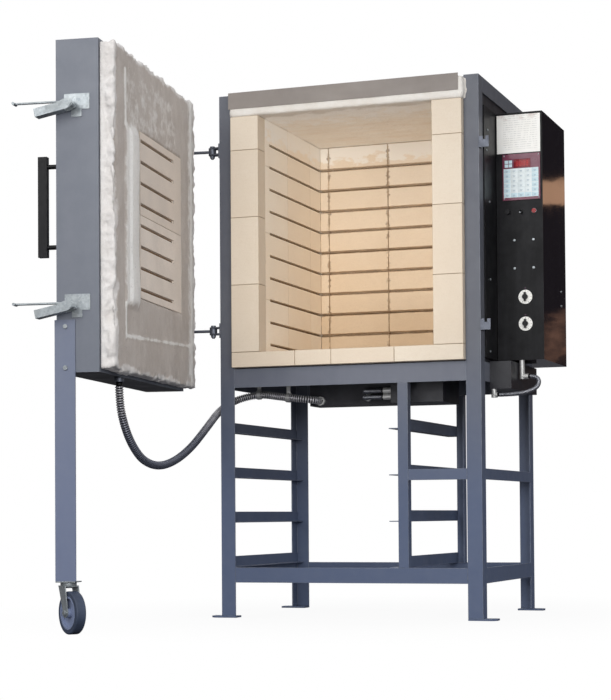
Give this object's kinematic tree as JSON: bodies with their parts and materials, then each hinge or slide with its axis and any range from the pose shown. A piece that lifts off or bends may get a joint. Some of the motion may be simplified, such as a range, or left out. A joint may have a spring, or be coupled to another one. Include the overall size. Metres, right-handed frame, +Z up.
{
  "type": "front-loading electric kiln",
  "caption": "Front-loading electric kiln on an open angle-iron stand, brick-lined chamber, hinged insulated door with draw latches and a caster leg, and a side control box.",
  "frame": {"origin": "on the floor, at the middle of the four bolt holes in the foot lugs", "axes": "+X to the right as one faces the opening, +Y from the opening into the kiln, +Z up"},
  "size_m": [1.3296, 1.7236, 1.78],
  "materials": {
    "frame_paint": "semi-gloss blue-grey enamel",
    "black_paint": "high-gloss black enamel",
    "box_paint": "satin dark grey enamel",
    "fire_brick": "porous insulating fire brick",
    "face_brick": "porous insulating fire brick, lighter",
    "fibre": "rigid ceramic fibre board",
    "board": "back-up insulation block",
    "element": "oxidised resistance wire",
    "bushing": "ceramic",
    "zinc": "zinc plated steel",
    "steel": "plain steel",
    "hose": "galvanised flexible conduit",
    "black_hose": "dark coated flexible conduit",
    "bezel": "maroon overlay",
    "display": "dark red window",
    "keypad": "pale blue membrane",
    "notice": "off-white printed plate",
    "black_plastic": "black",
    "lamp": "red lens",
    "aluminium": "cast wheel centre",
    "tyre": "black rubber"
  },
  "bodies": {
    "kiln": {"corner_posts": "frame_paint", "foot_lugs": "frame_paint", "floor_beams": "frame_paint", "stand_rails": "frame_paint", "top_rails": "frame_paint", "inner_uprights": "frame_paint", "shelf_ledges": "frame_paint", "case_panels": "frame_paint", "backup_boards": "board", "floor_bricks": "fire_brick", "side_wall_bricks": "fire_brick", "back_wall_bricks": "fire_brick", "face_bricks": "face_brick", "roof_fibre": "fibre", "lintel_strip": "frame_paint", "chamber_elements": "element", "element_terminals": "bushing", "thermocouple": "bushing", "control_box": "black_paint", "control_panel": "black_paint", "controller": "bezel", "controller_display": "display", "controller_keypad": "keypad", "panel_plates": "notice", "switch_bodies": "black_plastic", "pilot_lights": "lamp", "control_screws": "zinc", "contactors": "black_plastic", "terminal_cover": "black_paint", "junction_boxes": "box_paint", "wiring_conduits": "hose", "conduit_fittings": "zinc", "hinge_clevises": "frame_paint", "hinge_pins": "zinc", "latch_keepers": "zinc", "door_conduit": "black_hose"},
    "door": {"door_case": "frame_paint", "door_insulation": "board", "door_fibre": "fibre", "door_brick_panel": "fire_brick", "door_elements": "element", "hinge_lugs": "frame_paint", "hinge_eye_bolts": "zinc", "door_fasteners": "zinc", "latch_plates": "zinc", "door_handle": "black_paint", "door_leg": "frame_paint", "caster_plate": "zinc", "door_gland": "zinc"},
    "upper_lever": {"upper_latch_handle": "zinc"},
    "lower_lever": {"lower_latch_handle": "zinc"},
    "upper_rod": {"upper_latch_rod": "zinc"},
    "lower_rod": {"lower_latch_rod": "zinc"},
    "caster": {"caster_fork": "zinc", "caster_axle": "zinc"},
    "wheel": {"caster_wheel": "aluminium", "caster_tyre": "tyre"},
    "upper_dial": {"upper_dial_knob": "black_plastic"},
    "lower_dial": {"lower_dial_knob": "black_plastic"},
    "toggle": {"toggle_lever": "steel"}
  },
  "joints": [
    {"name": "door_swing", "type": "hinge", "parent": "kiln", "child": "door", "pos_m": [-0.49, -0.34395, 1.285], "axis": [0, 0, 1], "range_deg": [-38, 82], "deforming": ["door_conduit"]},
    {"name": "upper_latch_lever", "type": "hinge", "parent": "door", "child": "upper_lever", "pos_m": [-0.52097, -1.32354, 1.556], "axis": [-0.1392, 0.9903, 0], "range_deg": [0, 150]},
    {"name": "upper_latch_rod", "type": "hinge", "parent": "upper_lever", "child": "upper_rod", "pos_m": [-0.53285, -1.32521, 1.5655], "axis": [-0.1392, 0.9903, 0], "range_deg": [0, 180]},
    {"name": "lower_latch_lever", "type": "hinge", "parent": "door", "child": "lower_lever", "pos_m": [-0.52097, -1.32354, 0.962], "axis": [-0.1392, 0.9903, 0], "range_deg": [0, 150]},
    {"name": "lower_latch_rod", "type": "hinge", "parent": "lower_lever", "child": "lower_rod", "pos_m": [-0.53285, -1.32521, 0.9715], "axis": [-0.1392, 0.9903, 0], "range_deg": [0, 180]},
    {"name": "caster_swivel", "type": "hinge", "parent": "door", "child": "caster", "pos_m": [-0.56314, -1.26994, 0.15], "axis": [0, 0, 1], "continuous": true},
    {"name": "caster_roll", "type": "hinge", "parent": "caster", "child": "wheel", "pos_m": [-0.54397, -1.28438, 0.0635], "axis": [0.6018, 0.7986, 0], "continuous": true},
    {"name": "upper_dial", "type": "hinge", "parent": "kiln", "child": "upper_dial", "pos_m": [0.5572, -0.15595, 1.067], "axis": [0, 1, 0], "range_deg": [0, 300]},
    {"name": "lower_dial", "type": "hinge", "parent": "kiln", "child": "lower_dial", "pos_m": [0.5572, -0.15595, 0.9776], "axis": [0, 1, 0], "range_deg": [0, 300]},
    {"name": "toggle_flip", "type": "hinge", "parent": "kiln", "child": "toggle", "pos_m": [0.546, -0.15695, 1.352], "axis": [-1, 0, 0], "range_deg": [0, 24]}
  ]
}
